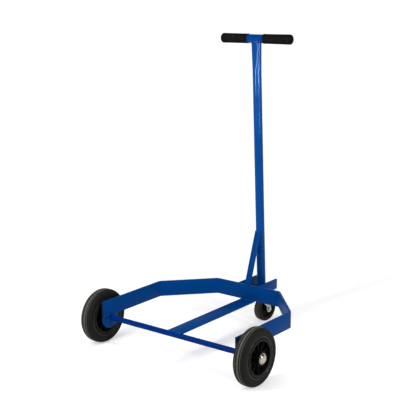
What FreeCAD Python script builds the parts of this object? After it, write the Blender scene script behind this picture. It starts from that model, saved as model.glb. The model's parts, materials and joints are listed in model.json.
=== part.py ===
import FreeCAD, Part
import math
import os

# Drum trolley: a bent flat-bar frame that cradles an upright drum, two fixed
# main wheels on a through axle, one swivel caster under the rear channel, and
# a tubular pole with a T-bar handle.
# Millimetres. +X runs along the axle to the right, +Y from the axle towards
# the handle, +Z up. The origin is on the floor, below the middle of the whole.

# Fits
slip_gap = 0.05          # shaft in its bore, and pieces that slide together
side_play = 0.4          # end float of a turning hub
cut_overrun = 5.0        # how far a cutting tool stands past what it cuts

# Strap frame, one flat bar bent to a half octagon
bay_width = 593.0        # clear width between the two arms
bay_depth = 437.0        # axle to the inside of the rear run
bay_corner_reach = 273.0 # axle to the inside corner of an arm
bay_rear_width = 284.0   # inside length of the rear run
strap_height = 60.0
strap_thickness = 8.0
strap_bend_radius = 10.0 # on the inside of each bend
strap_rise = 11.0        # axle's axis to the strap's lower edge
strap_front_reach = 46.0 # axle to the front end of an arm

# Axle lugs, welded on the outside of the arms
lug_width = 80.0
lug_thickness = 6.0
lug_lap = 40.0           # height that a lug shares with the strap
lug_corner = 12.0        # bevel on its two upper corners

# Axle and centre bar
axle_diameter = 20.0
axle_end_bevel = 1.5
centre_bar_width = 60.0
centre_bar_thickness = 6.0

# Main wheels
wheel_diameter = 200.0
tyre_width = 46.0
tyre_shoulder = 14.0     # rounding between tread and side
tyre_crown_drop = 0.6    # fall of the tread from its middle to the shoulder
tyre_foot_rise = 16.0    # height of the waisted part of the side
tyre_foot_tuck = 2.5     # how far the side draws in at the rim
tyre_side_bow = 0.6      # outward bow of the waisted part
groove_pitch = 12.0
groove_width = 3.2
groove_depth = 2.2
rim_flange_diameter = 129.0
rim_flange_width = 4.0
rim_flange_depth = 5.0   # height of the flange above the tyre's seat
rim_opening_diameter = 113.0
rim_width = 46.0
rim_web_thickness = 5.0
rim_rib_count = 10
rim_rib_thickness = 3.2
rim_rib_setback = 9.0    # rib edge below the rim's face
hub_diameter = 44.0
hub_length = 58.0
hub_collar_width = 3.0   # thicker band at each mouth of the hub
hub_collar_rise = 1.5

# Roller bearings of the main wheels
roller_diameter = 4.9
roller_count = 10
cage_wall = 3.6
cage_end_ring = 6.0      # solid ring at each end of the cage
cage_end_gap = 1.0       # cage's end to the hub's mouth

# Washers and push-on caps of the main wheels
washer_diameter = 37.0
inner_washer_thickness = 3.0
outer_washer_thickness = 2.5
cap_diameter = 35.0
cap_flange_width = 1.6
cap_skirt = 3.0          # upright wall between the flange and the dome
cap_dome = 6.0           # rise of the dome above its wall
cap_sheet = 1.0

# Rear channel, open upwards, welded to the back of the strap
channel_width = 95.0
channel_height = 45.0
channel_thickness = 6.0
channel_bend_radius = 6.0
channel_length = 125.0

# Handle pole, T-bar and grips
pole_diameter = 33.7
pole_wall = 2.6
pole_lean_deg = 2.28     # the pole leans forward, over the drum
pole_setback = 87.0      # back of the strap to the pole's foot
handle_height = 1097.0   # floor to the T-bar's axis
press_start_drop = 116.0 # T-bar's axis to where the pole starts to be pressed flat
press_knee_drop = 76.0   # T-bar's axis to the crease of the pressed part
press_knee_width = 35.6
press_knee_depth = 24.0
press_knee_corner = 10.0
press_width = 38.0       # at the T-bar
press_depth = 20.0
press_corner = 6.0
t_bar_diameter = 32.0
t_bar_wall = 2.0
t_bar_length = 300.0
grip_diameter = 36.5
grip_length = 119.0
grip_end_wall = 3.5
grip_end_round = 7.0
grip_mouth_round = 1.2

# Pole brace
brace_width = 25.0
brace_thickness = 5.0
brace_top_height = 368.0 # floor to the brace's upper tip

# Caster
caster_setback = 66.0    # back of the strap to the swivel axis
caster_trail = 38.0      # swivel axis to wheel axis
caster_turn_deg = -7.5   # how the caster stands at rest, turned about its swivel axis
caster_wheel_diameter = 100.0
caster_tyre_width = 30.0
caster_tyre_depth = 13.0
caster_tyre_shoulder = 7.0
caster_tyre_lap = 3.0    # narrower foot of the tyre on its wheel centre
caster_web_thickness = 6.0
caster_rim_wall = 5.0
caster_hub_diameter = 26.0
caster_hub_length = 40.0
plate_length = 105.0
plate_width = 85.0
plate_thickness = 4.0
plate_corner = 10.0
plate_bolt_pitch_x = 54.0
plate_bolt_pitch_y = 80.0
race_drop = 2.5          # pressed ring below the plate that holds the balls
race_width = 10.0
ball_diameter = 6.0
ball_circle = 46.0
ball_count = 12
ball_seat_share = 0.25   # share of a ball's diameter that a race takes in
crown_thickness = 4.0
crown_diameter = 58.0
fork_thickness = 3.0
fork_bend_radius = 3.0
fork_front_reach = 24.0  # swivel axis to the front of a leg
fork_rear_reach = 28.0
fork_skirt = 2.0         # upright front edge of a leg, below the crown
fork_knee_rise = 13.0    # wheel axis to the knee in a leg's front edge
fork_knee_round = 12.0
fork_foot_diameter = 25.0
kingpin_diameter = 12.0
kingpin_head_diameter = 20.0
kingpin_head_height = 5.0
thrust_ring_side_gap = 1.0 # thrust ring to the bends of the fork
thrust_ring_height = 3.0
sleeve_diameter = 14.0

# Threaded fasteners
axle_bolt_diameter = 8.0
axle_bolt_head_height = 5.3
axle_nut_height = 6.5
axle_bolt_flats = 13.0
plate_bolt_diameter = 8.0
plate_bolt_head_height = 5.3
plate_nut_height = 6.5
plate_bolt_flats = 13.0
plate_washer_diameter = 16.0
plate_washer_thickness = 1.6
bolt_hole_gap = 0.25
thread_stand_out = 2.0   # bolt end past its nut

# Heights and reaches worked out from the sizes above
wheel_radius = wheel_diameter / 2
axle_radius = axle_diameter / 2
axle_z = wheel_radius
caster_radius = caster_wheel_diameter / 2
strap_bottom = axle_z + strap_rise
strap_top = strap_bottom + strap_height
swivel_reach = bay_depth + strap_thickness + caster_setback
caster_turn = math.radians(caster_turn_deg)
caster_tread_reach = caster_trail + caster_radius - caster_tyre_shoulder
caster_side_reach = caster_tyre_width / 2 - caster_tyre_shoulder
caster_rear_reach = (caster_tread_reach * math.cos(caster_turn)
                     + caster_side_reach * abs(math.sin(caster_turn)) + caster_tyre_shoulder)
overall_length = wheel_radius + swivel_reach + caster_rear_reach
axle_y = wheel_radius - overall_length / 2

bay_half = bay_width / 2
arm_outer = bay_half + strap_thickness
lug_outer = arm_outer + lug_thickness
hub_inner = lug_outer + inner_washer_thickness + side_play
hub_outer = hub_inner + hub_length
wheel_x = hub_inner + hub_length / 2
cap_inner = hub_outer + side_play + outer_washer_thickness
cage_half = hub_length / 2 - cage_end_gap
roller_half = cage_half - cage_end_ring

rear_inner_y = axle_y + bay_depth
rear_outer_y = rear_inner_y + strap_thickness
channel_bottom = strap_top - channel_height
web_top = channel_bottom + channel_thickness
swivel_y = axle_y + swivel_reach
caster_y = swivel_y + caster_trail  # before its turn

pole_radius = pole_diameter / 2
pole_foot_y = rear_outer_y + pole_setback
pole_rise = handle_height - web_top
handle_y = pole_foot_y - pole_rise * math.tan(math.radians(pole_lean_deg))
pole_length = pole_rise / math.cos(math.radians(pole_lean_deg))
foot_spare = pole_diameter * math.tan(math.radians(pole_lean_deg)) # lets the foot be cut level
t_bar_radius = t_bar_diameter / 2
grip_outer_x = t_bar_length / 2 + grip_end_wall

plate_bottom = channel_bottom - plate_thickness
ball_radius = ball_diameter / 2
race_seat = ball_diameter * ball_seat_share
race_bottom = plate_bottom - race_drop
ball_z = race_bottom + race_seat - ball_radius
crown_top = ball_z - ball_radius + race_seat
crown_bottom = crown_top - crown_thickness
thrust_bottom = crown_bottom - thrust_ring_height
fork_inner = caster_hub_length / 2 + side_play
fork_outer = fork_inner + fork_thickness
thrust_ring_radius = fork_inner - fork_bend_radius - thrust_ring_side_gap

# Directions
along_x = FreeCAD.Vector(1, 0, 0)
along_y = FreeCAD.Vector(0, 1, 0)
along_z = FreeCAD.Vector(0, 0, 1)
full_turn = 360.0


def point(x, y, z):
    return FreeCAD.Vector(x, y, z)


def block(low, high):
    """Box between two opposite corners."""
    size = high - low
    return Part.makeBox(size.x, size.y, size.z, low)


def rod(radius, start, end):
    """Round bar between two points."""
    run = end - start
    return Part.makeCylinder(radius, run.Length, start, run)


def sleeve(outer_radius, inner_radius, start, end):
    """Round tube between two points."""
    return rod(outer_radius, start, end).cut(rod(inner_radius, start, end))


def closed_path(start, *steps):
    """Closed wire: each step is an end point, or a middle and an end of an arc."""
    edges = []
    here = start
    for step in steps:
        if isinstance(step, tuple):
            middle, here_next = step
            edges.append(Part.Arc(here, middle, here_next).toShape())
        else:
            here_next = step
            edges.append(Part.makeLine(here, here_next))
        here = here_next
    edges.append(Part.makeLine(here, start))
    return Part.Wire(edges)


def outline(start, *steps):
    """Face inside a closed path."""
    return Part.Face(closed_path(start, *steps))


def turned(face):
    """Solid of revolution about the X axis."""
    return face.revolve(point(0, 0, 0), along_x, full_turn)


def ring(outer_radius, inner_radius, low, high):
    """Turned ring on the X axis, between two places on it."""
    return sleeve(outer_radius, inner_radius, point(low, 0, 0), point(high, 0, 0))


def around_x(shape, count):
    """Evenly turned copies about the X axis."""
    copies = []
    for index in range(count):
        copy = shape.copy()
        copy.rotate(point(0, 0, 0), along_x, full_turn * index / count)
        copies.append(copy)
    return copies


def moved(shape, x, y, z):
    copy = shape.copy()
    copy.translate(point(x, y, z))
    return copy


def hex_prism(flats, low, high, direction):
    """Hexagon bar of a width across flats, from low to high along a direction."""
    corner = flats / math.sqrt(3)
    sides = 6
    corners = []
    for index in range(sides + 1):
        angle = 2 * math.pi * index / sides
        corners.append(point(corner * math.cos(angle), corner * math.sin(angle), 0))
    prism = Part.Face(Part.makePolygon(corners)).extrude(along_z * (high - low))
    prism.translate(along_z * low)
    return prism.transformGeometry(FreeCAD.Rotation(along_z, direction).toMatrix())


def corner_arc(before, corner, after, radius):
    """Start, middle and end of the arc that rounds a corner."""
    back = (before - corner).normalize()
    ahead = (after - corner).normalize()
    half_angle = back.getAngle(ahead) / 2
    reach = radius / math.tan(half_angle)
    inward = (back + ahead).normalize()
    middle = corner + inward * (radius / math.sin(half_angle) - radius)
    return corner + back * reach, middle, corner + ahead * reach


def rounded_path(corners, radius):
    """Steps for outline() along a polyline whose inner corners are rounded."""
    steps = []
    for before, corner, after in zip(corners, corners[1:], corners[2:]):
        start, middle, end = corner_arc(before, corner, after, radius)
        steps.append(start)
        steps.append((middle, end))
    steps.append(corners[-1])
    return steps


def strap_corners(outset):
    """Corners of the half octagon, moved outwards by an amount, from left to right."""
    side_x = bay_half
    side_y = axle_y + bay_corner_reach
    rear_x = bay_rear_width / 2
    slope = math.atan2(rear_inner_y - side_y, side_x - rear_x)
    side_turn = math.pi / 2 - slope
    side_shift = outset * math.tan(side_turn / 2)
    rear_shift = outset * math.tan(slope / 2)
    front = point(side_x + outset, axle_y - strap_front_reach, 0)
    side = point(side_x + outset, side_y + side_shift, 0)
    rear = point(rear_x + rear_shift, rear_inner_y + outset, 0)
    right_half = [rear, side, front]
    left_half = []
    for corner in reversed(right_half):
        left_half.append(point(-corner.x, corner.y, corner.z))
    return left_half + right_half


def strap_frame():
    inner = strap_corners(0)
    outer = strap_corners(strap_thickness)
    outer.reverse()
    steps = rounded_path(inner, strap_bend_radius)
    steps.append(outer[0])
    steps.extend(rounded_path(outer, strap_bend_radius + strap_thickness))
    profile = outline(inner[0], *steps)
    return moved(profile.extrude(along_z * strap_height), 0, 0, strap_bottom)


def axle_lug():
    """Right-hand lug: round at the axle, bevelled at the top."""
    half = lug_width / 2
    top = strap_bottom + lug_lap
    steps = [
        point(arm_outer, axle_y + half, top - lug_corner),
        point(arm_outer, axle_y + half, axle_z),
        (point(arm_outer, axle_y, axle_z - half), point(arm_outer, axle_y - half, axle_z)),
        point(arm_outer, axle_y - half, top - lug_corner),
        point(arm_outer, axle_y - half + lug_corner, top),
    ]
    face = outline(point(arm_outer, axle_y + half - lug_corner, top), *steps)
    plate = face.extrude(along_x * lug_thickness)
    return plate.cut(axle_bore(arm_outer, lug_outer))


def axle_bore(low, high):
    return rod(axle_radius + slip_gap, point(low - cut_overrun, axle_y, axle_z),
               point(high + cut_overrun, axle_y, axle_z))


def axle():
    end_x = cap_inner + cap_skirt
    bar = rod(axle_radius, point(-end_x, axle_y, axle_z), point(end_x, axle_y, axle_z))
    rims = [edge for edge in bar.Edges if isinstance(edge.Curve, Part.Circle)]
    return bar.makeChamfer(axle_end_bevel, rims)


def centre_bar():
    """Flat bar below the bay, coped over the axle and lapped under the strap.

    Its two lengths keep their seam, so that the drum's seat is a face of its own.
    """
    half = centre_bar_width / 2
    underside = strap_bottom - centre_bar_thickness
    seat = block(point(-half, axle_y, underside), point(half, rear_inner_y, strap_bottom))
    lap = block(point(-half, rear_inner_y, underside), point(half, rear_outer_y, strap_bottom))
    return seat.fuse(lap).cut(axle_bore(-half, half))


def tyre():
    """Solid rubber tyre with a waisted side and two tread grooves."""
    half = tyre_width / 2
    seat = rim_flange_diameter / 2 - rim_flange_depth
    seat_half = rim_width / 2 - rim_flange_width
    foot = rim_flange_diameter / 2 + slip_gap
    foot_half = half - tyre_foot_tuck
    side_low = foot + tyre_foot_rise
    side_high = wheel_radius - tyre_crown_drop - tyre_shoulder
    tread_half = half - tyre_shoulder
    tread_edge = wheel_radius - tyre_crown_drop
    lean = tyre_shoulder * math.sqrt(1 / 2)
    waist = (foot_half + half) / 2
    waist_r = (foot + side_low) / 2

    def at(x, r):
        return point(x, 0, r)

    face = outline(
        at(-seat_half + slip_gap, seat + slip_gap),
        at(seat_half - slip_gap, seat + slip_gap),
        at(seat_half - slip_gap, foot),
        at(foot_half, foot),
        (at(waist + tyre_side_bow, waist_r), at(half, side_low)),
        at(half, side_high),
        (at(tread_half + lean, side_high + lean), at(tread_half, tread_edge)),
        (at(0, wheel_radius), at(-tread_half, tread_edge)),
        (at(-tread_half - lean, side_high + lean), at(-half, side_high)),
        at(-half, side_low),
        (at(-waist - tyre_side_bow, waist_r), at(-foot_half, foot)),
        at(-seat_half + slip_gap, foot),
    )
    body = turned(face)
    for side in (-1, 1):
        middle = side * groove_pitch / 2
        body = body.cut(ring(wheel_radius + cut_overrun, wheel_radius - groove_depth,
                             middle - groove_width / 2, middle + groove_width / 2))
    return body


def wheel_rim():
    """Moulded wheel centre: hub, web, ribs and a flanged barrel."""
    half = rim_width / 2
    flange_r = rim_flange_diameter / 2
    seat_r = flange_r - rim_flange_depth
    opening_r = rim_opening_diameter / 2
    hub_r = hub_diameter / 2
    bore_r = axle_radius + roller_diameter + 2 * slip_gap + slip_gap
    hub_half = hub_length / 2
    barrel = ring(seat_r, opening_r, -half, half)
    web = ring(opening_r + rim_flange_depth / 2, hub_r / 2, -rim_web_thickness / 2, rim_web_thickness / 2)
    hub = ring(hub_r, bore_r / 2, -hub_half, hub_half)
    rib_half = half - rim_rib_setback
    rib = block(point(-rib_half, -rim_rib_thickness / 2, hub_r - hub_collar_rise),
                point(rib_half, rim_rib_thickness / 2, opening_r + rim_flange_depth / 2))
    pieces = [web, hub] + around_x(rib, rim_rib_count)
    for side in (-1, 1):
        flange_in = side * (half - rim_flange_width)
        pieces.append(ring(flange_r, opening_r, min(flange_in, side * half), max(flange_in, side * half)))
        collar_in = side * (hub_half - hub_collar_width)
        pieces.append(ring(hub_r + hub_collar_rise, bore_r / 2,
                           min(collar_in, side * hub_half), max(collar_in, side * hub_half)))
    body = barrel.fuse(pieces).removeSplitter()
    return body.cut(rod(bore_r, point(-hub_half - cut_overrun, 0, 0), point(hub_half + cut_overrun, 0, 0)))


def roller_circle():
    return axle_radius + slip_gap + roller_diameter / 2


def rollers():
    """Group of bearing rollers, evenly set round the axle."""
    middle = roller_circle()
    one = rod(roller_diameter / 2, point(-roller_half, 0, middle), point(roller_half, 0, middle))
    return Part.makeCompound(around_x(one, roller_count))


def roller_cage():
    """Thin sleeve with a window for each roller."""
    middle = roller_circle()
    window_half = roller_half + slip_gap
    wall = cage_wall / 2
    tube = ring(middle + wall, middle - wall, -cage_half, cage_half)
    gap = roller_diameter / 2 + slip_gap
    window = block(point(-window_half, -gap, 0), point(window_half, gap, middle + roller_diameter))
    return tube.cut(around_x(window, roller_count))


def flat_washer(diameter, bore_radius, low, high):
    return ring(diameter / 2, bore_radius, low, high)


def dome_middle(radius, base, rise):
    """Point halfway along a dome's arc, from its rim at the base to its top on the X axis."""
    sphere = (radius ** 2 + rise ** 2) / (2 * rise)
    half_angle = math.asin(radius / sphere) / 2
    return point(base + rise - sphere + sphere * math.cos(half_angle), 0, sphere * math.sin(half_angle))


def hub_cap():
    """Right-hand push-on cap: a flange, a short wall and a dome over the axle's end."""
    flange_r = cap_diameter / 2
    wall_r = flange_r - cap_flange_width
    inner_r = wall_r - cap_sheet
    flange_x = cap_inner + cap_sheet
    dome_x = cap_inner + cap_skirt
    top = dome_x + cap_dome
    bore_r = axle_radius + slip_gap
    face = outline(
        point(cap_inner, 0, flange_r),
        point(flange_x, 0, flange_r),
        point(flange_x, 0, wall_r),
        point(dome_x, 0, wall_r),
        (dome_middle(wall_r, dome_x, cap_dome), point(top, 0, 0)),
        point(top - cap_sheet, 0, 0),
        (dome_middle(inner_r, dome_x, cap_dome - cap_sheet), point(dome_x, 0, inner_r)),
        point(flange_x, 0, inner_r),
        point(flange_x, 0, bore_r),
        point(cap_inner, 0, bore_r),
    )
    return moved(turned(face), 0, axle_y, axle_z)


def rear_channel():
    """Bent channel, open upwards, with holes for the caster's bolts."""
    half = channel_width / 2
    inner_half = half - channel_thickness
    outer = [point(-half, 0, strap_top), point(-half, 0, channel_bottom),
             point(half, 0, channel_bottom), point(half, 0, strap_top)]
    inner = [point(inner_half, 0, strap_top), point(inner_half, 0, web_top),
             point(-inner_half, 0, web_top), point(-inner_half, 0, strap_top)]
    steps = rounded_path(outer, channel_bend_radius + channel_thickness)
    steps.append(inner[0])
    steps.extend(rounded_path(inner, channel_bend_radius))
    body = moved(outline(outer[0], *steps).extrude(along_y * channel_length), 0, rear_outer_y, 0)
    return body.cut(bolt_holes(channel_bottom, web_top))


def plate_bolt_places():
    places = []
    for side_x in (-1, 1):
        for side_y in (-1, 1):
            places.append((side_x * plate_bolt_pitch_x / 2, swivel_y + side_y * plate_bolt_pitch_y / 2))
    return places


def bolt_holes(low, high):
    radius = plate_bolt_diameter / 2 + bolt_hole_gap
    return [rod(radius, point(x, y, low - cut_overrun), point(x, y, high + cut_overrun))
            for x, y in plate_bolt_places()]


def pressed_section(height, width, depth, corner):
    """Rounded rectangle across the pole: four corners with a flat after each."""
    half_x = width / 2
    half_y = depth / 2
    flat_x = half_x - corner
    flat_y = half_y - corner
    bulge_x = flat_x + corner * math.sqrt(1 / 2)
    bulge_y = flat_y + corner * math.sqrt(1 / 2)

    def at(x, y):
        return point(x, y, height)

    return closed_path(
        at(flat_x, -half_y),
        (at(bulge_x, -bulge_y), at(half_x, -flat_y)),
        at(half_x, flat_y),
        (at(bulge_x, bulge_y), at(flat_x, half_y)),
        at(-flat_x, half_y),
        (at(-bulge_x, bulge_y), at(-half_x, flat_y)),
        at(-half_x, -flat_y),
        (at(-bulge_x, -bulge_y), at(-flat_x, -half_y)),
    )


def round_section(height, radius, flat_x, flat_y):
    """Circle across the pole, divided where the flats of a pressed section will start and end."""
    front = flat_x / radius
    side = flat_y / radius
    turns = []
    for quarter, before, after in ((-1, front, side), (0, side, front), (1, front, side), (2, side, front)):
        turns.append(quarter * math.pi / 2 + before)
        turns.append((quarter + 1) * math.pi / 2 - after)
    turns.append(turns[0] + 2 * math.pi)

    def at(turn):
        return point(radius * math.cos(turn), radius * math.sin(turn), height)

    arcs = []
    for low, high in zip(turns, turns[1:]):
        arcs.append(Part.Arc(at(low), at((low + high) / 2), at(high)).toShape())
    return Part.Wire(arcs)


def pole_body(inset):
    """Solid pole, smaller all round by an inset: round, then pressed flat towards the T-bar."""
    radius = pole_radius - inset
    press_start = pole_length - press_start_drop
    knee_flat_x = press_knee_width / 2 - press_knee_corner
    knee_flat_y = press_knee_depth / 2 - press_knee_corner
    sections = [
        round_section(press_start, radius, knee_flat_x, knee_flat_y),
        pressed_section(pole_length - press_knee_drop, press_knee_width - 2 * inset,
                        press_knee_depth - 2 * inset, press_knee_corner - inset),
        pressed_section(pole_length, press_width - 2 * inset, press_depth - 2 * inset,
                        press_corner - inset),
    ]
    round_part = rod(radius, point(0, 0, -foot_spare), point(0, 0, press_start))
    return round_part.fuse(Part.makeLoft(sections, True, True))


def handle_pole():
    """Leaning tube whose pressed top is saddle-cut to the T-bar."""
    tube = pole_body(0).cut(pole_body(pole_wall))
    tube.rotate(point(0, 0, 0), along_x, pole_lean_deg)
    tube.translate(point(0, pole_foot_y, web_top))
    floor_cut = block(point(-pole_diameter, pole_foot_y - pole_diameter, web_top - pole_diameter),
                      point(pole_diameter, pole_foot_y + pole_diameter, web_top))
    saddle = rod(t_bar_radius + slip_gap, point(-t_bar_length / 2, handle_y, handle_height),
                 point(t_bar_length / 2, handle_y, handle_height))
    return tube.cut([floor_cut, saddle])


def t_bar():
    half = t_bar_length / 2
    return sleeve(t_bar_radius, t_bar_radius - t_bar_wall, point(-half, handle_y, handle_height),
                  point(half, handle_y, handle_height))


def grip():
    """Right-hand grip: a sleeve with a closed, rounded outer end."""
    outer_r = grip_diameter / 2
    bore_r = t_bar_radius + slip_gap
    mouth = grip_outer_x - grip_length
    floor = t_bar_length / 2
    end_lean = grip_end_round * math.sqrt(1 / 2)
    mouth_lean = grip_mouth_round * math.sqrt(1 / 2)
    end_low = grip_outer_x - grip_end_round
    end_r = outer_r - grip_end_round
    mouth_high = mouth + grip_mouth_round
    mouth_r = outer_r - grip_mouth_round
    face = outline(
        point(mouth, 0, bore_r),
        point(mouth, 0, mouth_r),
        (point(mouth_high - mouth_lean, 0, mouth_r + mouth_lean), point(mouth_high, 0, outer_r)),
        point(end_low, 0, outer_r),
        (point(end_low + end_lean, 0, end_r + end_lean), point(grip_outer_x, 0, end_r)),
        point(grip_outer_x, 0, 0),
        point(floor, 0, 0),
        point(floor, 0, bore_r),
    )
    return moved(turned(face), 0, handle_y, handle_height)


def pole_brace():
    """Flat stay from the strap's top edge to the front of the pole."""
    lean = math.radians(pole_lean_deg)
    front_reach = (pole_radius + slip_gap) / math.cos(lean)

    def pole_front(z):
        return pole_foot_y - front_reach - (z - web_top) * math.tan(lean)

    foot = point(0, rear_inner_y, strap_top)
    tip = point(0, pole_front(brace_top_height), brace_top_height)
    slope = (tip.y - foot.y) / (tip.z - foot.z)
    depth = brace_thickness * math.sqrt(1 + slope ** 2)
    heel = point(0, foot.y + depth, strap_top)
    under_z = strap_top + (pole_front(strap_top) - heel.y) / (slope + math.tan(lean))
    under = point(0, pole_front(under_z), under_z)
    stay = outline(foot, tip, under, heel).extrude(along_x * brace_width)
    return moved(stay, -brace_width / 2, 0, 0)


def caster_plate():
    """Top plate with rounded corners, bolt holes and a pressed ball race."""
    half_x = plate_width / 2
    half_y = plate_length / 2
    plate = block(point(-half_x, swivel_y - half_y, plate_bottom),
                  point(half_x, swivel_y + half_y, channel_bottom))
    uprights = [edge for edge in plate.Edges if edge.BoundBox.ZLength > plate_thickness / 2]
    plate = plate.makeFillet(plate_corner, uprights)
    middle = ball_circle / 2
    race = sleeve(middle + race_width / 2, middle - race_width / 2,
                  point(0, swivel_y, race_bottom), point(0, swivel_y, plate_bottom))
    pin_hole = rod(kingpin_diameter / 2 + slip_gap, point(0, swivel_y, plate_bottom - cut_overrun),
                   point(0, swivel_y, channel_bottom + cut_overrun))
    return plate.fuse(race).cut([ball_track(), pin_hole] + bolt_holes(plate_bottom, channel_bottom))


def ball_track():
    """Ring that the balls sweep, with running room."""
    return Part.makeTorus(ball_circle / 2, ball_radius + slip_gap, point(0, swivel_y, ball_z), along_z)


def swivel_balls():
    balls = []
    middle = ball_circle / 2
    for index in range(ball_count):
        angle = 2 * math.pi * index / ball_count
        place = point(middle * math.cos(angle), swivel_y + middle * math.sin(angle), ball_z)
        balls.append(Part.makeSphere(ball_radius, place))
    return Part.makeCompound(balls)


def rear_tangent_point(outside, centre, radius):
    """Where a line from a point touches the rear of a circle in the YZ plane."""
    run = outside - centre
    angle = math.atan2(run.z, run.y) - math.acos(radius / run.Length)
    return centre + point(0, radius * math.cos(angle), radius * math.sin(angle))


def caster_fork():
    """Pressed fork: two legs folded down from a round crown, each narrowed to a round foot."""
    radius = fork_foot_diameter / 2
    centre = point(0, caster_y, caster_radius)
    front_top = point(0, swivel_y - fork_front_reach, crown_top)
    front_low = point(0, swivel_y - fork_front_reach, crown_bottom - fork_skirt)
    rear_top = point(0, swivel_y + fork_rear_reach, crown_top)
    rear_touch = rear_tangent_point(rear_top, centre, radius)
    lowest = centre - along_z * radius
    foot_front = centre - along_y * radius
    knee = foot_front + along_z * fork_knee_rise
    front_edge = rounded_path([foot_front, knee, front_low], fork_knee_round)
    side = outline(front_top, rear_top, rear_touch, (lowest, foot_front), *front_edge)
    side = moved(side.extrude(along_x * 2 * fork_outer), -fork_outer, 0, 0)
    floor = centre.z - radius - cut_overrun
    outer = [point(-fork_outer, 0, floor), point(-fork_outer, 0, crown_top),
             point(fork_outer, 0, crown_top), point(fork_outer, 0, floor)]
    inner = [point(fork_inner, 0, floor), point(fork_inner, 0, crown_bottom),
             point(-fork_inner, 0, crown_bottom), point(-fork_inner, 0, floor)]
    steps = rounded_path(outer, fork_bend_radius + fork_thickness)
    steps.append(inner[0])
    steps.extend(rounded_path(inner, fork_bend_radius))
    fold = outline(outer[0], *steps).extrude(along_y * overall_length)
    fold = moved(fold, 0, swivel_y - overall_length / 2, 0)
    crown = rod(crown_diameter / 2, point(0, swivel_y, crown_bottom), point(0, swivel_y, crown_top))
    pin_hole = rod(kingpin_diameter / 2 + slip_gap, point(0, swivel_y, crown_bottom - cut_overrun),
                   point(0, swivel_y, crown_top + cut_overrun))
    bolt_hole = rod(axle_bolt_diameter / 2 + slip_gap,
                    point(-fork_outer - cut_overrun, caster_y, caster_radius),
                    point(fork_outer + cut_overrun, caster_y, caster_radius))
    return side.common(fold).fuse(crown).cut([pin_hole, bolt_hole, ball_track()])


def kingpin():
    """Riveted pin: its head holds the thrust ring up against the fork's crown."""
    head_bottom = thrust_bottom - side_play - kingpin_head_height
    shank = rod(kingpin_diameter / 2, point(0, swivel_y, head_bottom), point(0, swivel_y, channel_bottom))
    head = rod(kingpin_head_diameter / 2, point(0, swivel_y, head_bottom),
               point(0, swivel_y, head_bottom + kingpin_head_height))
    return shank.fuse(head).removeSplitter()


def thrust_ring():
    return sleeve(thrust_ring_radius, kingpin_diameter / 2 + slip_gap,
                  point(0, swivel_y, thrust_bottom), point(0, swivel_y, crown_bottom))


def caster_tyre():
    """Small solid tyre with rounded shoulders."""
    half = caster_tyre_width / 2
    foot = caster_radius - caster_tyre_depth + slip_gap
    foot_half = half - caster_tyre_lap
    lean = caster_tyre_shoulder * math.sqrt(1 / 2)
    tread_half = half - caster_tyre_shoulder
    side_high = caster_radius - caster_tyre_shoulder
    face = outline(
        point(-foot_half, 0, foot),
        point(foot_half, 0, foot),
        point(half, 0, foot + caster_tyre_lap),
        point(half, 0, side_high),
        (point(tread_half + lean, 0, side_high + lean), point(tread_half, 0, caster_radius)),
        point(-tread_half, 0, caster_radius),
        (point(-tread_half - lean, 0, side_high + lean), point(-half, 0, side_high)),
        point(-half, 0, foot + caster_tyre_lap),
    )
    return turned(face)


def caster_centre():
    """Wheel centre of the caster: hub, web and rim, turned in one."""
    rim_r = caster_radius - caster_tyre_depth
    rim_half = caster_tyre_width / 2 - caster_tyre_lap
    hub_half = caster_hub_length / 2
    hub_r = caster_hub_diameter / 2
    bore_r = sleeve_diameter / 2 + slip_gap
    rim = ring(rim_r, rim_r - caster_rim_wall, -rim_half, rim_half)
    web = ring(rim_r - caster_rim_wall / 2, bore_r, -caster_web_thickness / 2, caster_web_thickness / 2)
    hub = ring(hub_r, bore_r, -hub_half, hub_half)
    return rim.fuse([web, hub]).removeSplitter()


def axle_bolt():
    """Hexagon bolt through the fork, head on the right."""
    end = -fork_outer - axle_nut_height - thread_stand_out
    shank = rod(axle_bolt_diameter / 2, point(end, 0, 0), point(fork_outer, 0, 0))
    head = hex_prism(axle_bolt_flats, fork_outer, fork_outer + axle_bolt_head_height, along_x)
    return shank.fuse(head)


def axle_nut():
    nut = hex_prism(axle_bolt_flats, -fork_outer - axle_nut_height, -fork_outer, along_x)
    return nut.cut(rod(axle_bolt_diameter / 2 + slip_gap, point(-overall_length, 0, 0), point(0, 0, 0)))


def plate_fasteners():
    """Bolts with heads inside the channel, and washers and nuts below the plate."""
    radius = plate_bolt_diameter / 2
    washer_bottom = plate_bottom - plate_washer_thickness
    nut_bottom = washer_bottom - plate_nut_height
    head = hex_prism(plate_bolt_flats, web_top, web_top + plate_bolt_head_height, along_z)
    bolt = rod(radius, point(0, 0, nut_bottom - thread_stand_out), point(0, 0, web_top)).fuse(head)
    thread = rod(radius + slip_gap, point(0, 0, nut_bottom - cut_overrun), point(0, 0, plate_bottom))
    nut = hex_prism(plate_bolt_flats, nut_bottom, washer_bottom, along_z).cut(thread)
    washer = sleeve(plate_washer_diameter / 2, radius + slip_gap, point(0, 0, washer_bottom),
                    point(0, 0, plate_bottom))
    groups = {"plate_bolts": bolt, "plate_nuts": nut, "plate_washers": washer}
    return {name: Part.makeCompound([moved(shape, x, y, 0) for x, y in plate_bolt_places()])
            for name, shape in groups.items()}


def handed(name, shape):
    """A right-hand piece and its mirror image on the left."""
    left = shape.mirror(point(0, 0, 0), along_x)
    return {"left_" + name: left, "right_" + name: shape}


def main_wheel(side):
    """Pieces of one main wheel and its washers, on the left (-1) or the right (1)."""
    prefix = "left_" if side < 0 else "right_"
    shapes = {
        "tyre": tyre(),
        "wheel_rim": wheel_rim(),
        "roller_cage": roller_cage(),
        "bearing_rollers": rollers(),
    }
    return {prefix + name: moved(shape, side * wheel_x, axle_y, axle_z) for name, shape in shapes.items()}


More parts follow.
